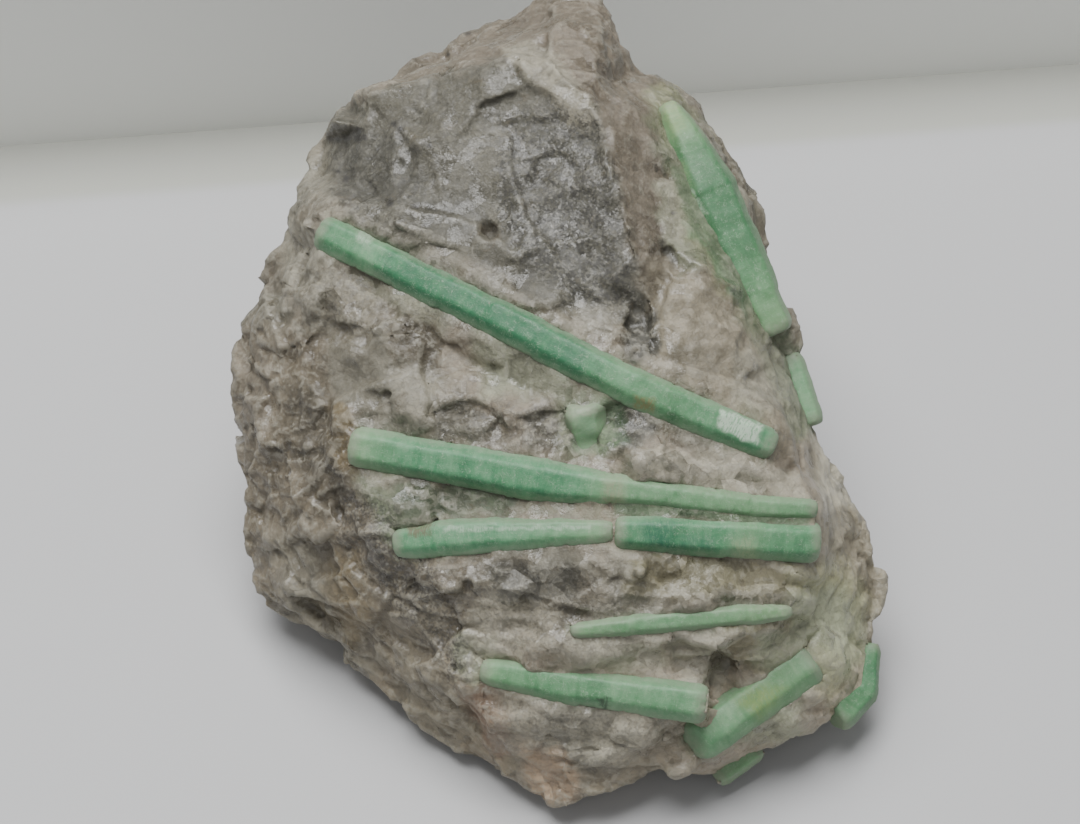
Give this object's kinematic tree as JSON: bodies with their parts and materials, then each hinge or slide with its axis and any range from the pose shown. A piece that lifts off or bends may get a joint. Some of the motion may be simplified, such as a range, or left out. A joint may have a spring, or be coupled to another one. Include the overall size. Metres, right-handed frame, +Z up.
{
  "type": "emerald in matrix",
  "caption": "Broken lump of granular grey-beige quartz with long hexagonal emerald crystals set across its sloping face, resting on a flat facet",
  "frame": {"origin": "on the flat resting facet, straight below the middle of the crystal-bearing face", "axes": "+Z up, square to the resting facet; +X to the right and +Y to the back as the crystal-bearing face is seen from the front"},
  "size_m": [0.066, 0.075, 0.0496],
  "materials": {
    "quartz": "rough, granular broken quartz with glassy flecks",
    "emerald": "cloudy green beryl, glossy where its faces are whole"
  },
  "bodies": {
    "root": {"quartz_matrix": "quartz", "emerald_long_upper": "emerald", "emerald_long_middle": "emerald", "emerald_pale_middle": "emerald", "emerald_deep_middle": "emerald", "emerald_needle": "emerald", "emerald_lower": "emerald", "emerald_corner": "emerald", "emerald_corner_stub": "emerald", "emerald_side": "emerald", "emerald_side_edge": "emerald", "emerald_right_foot": "emerald", "emerald_window": "emerald"}
  },
  "joints": []
}
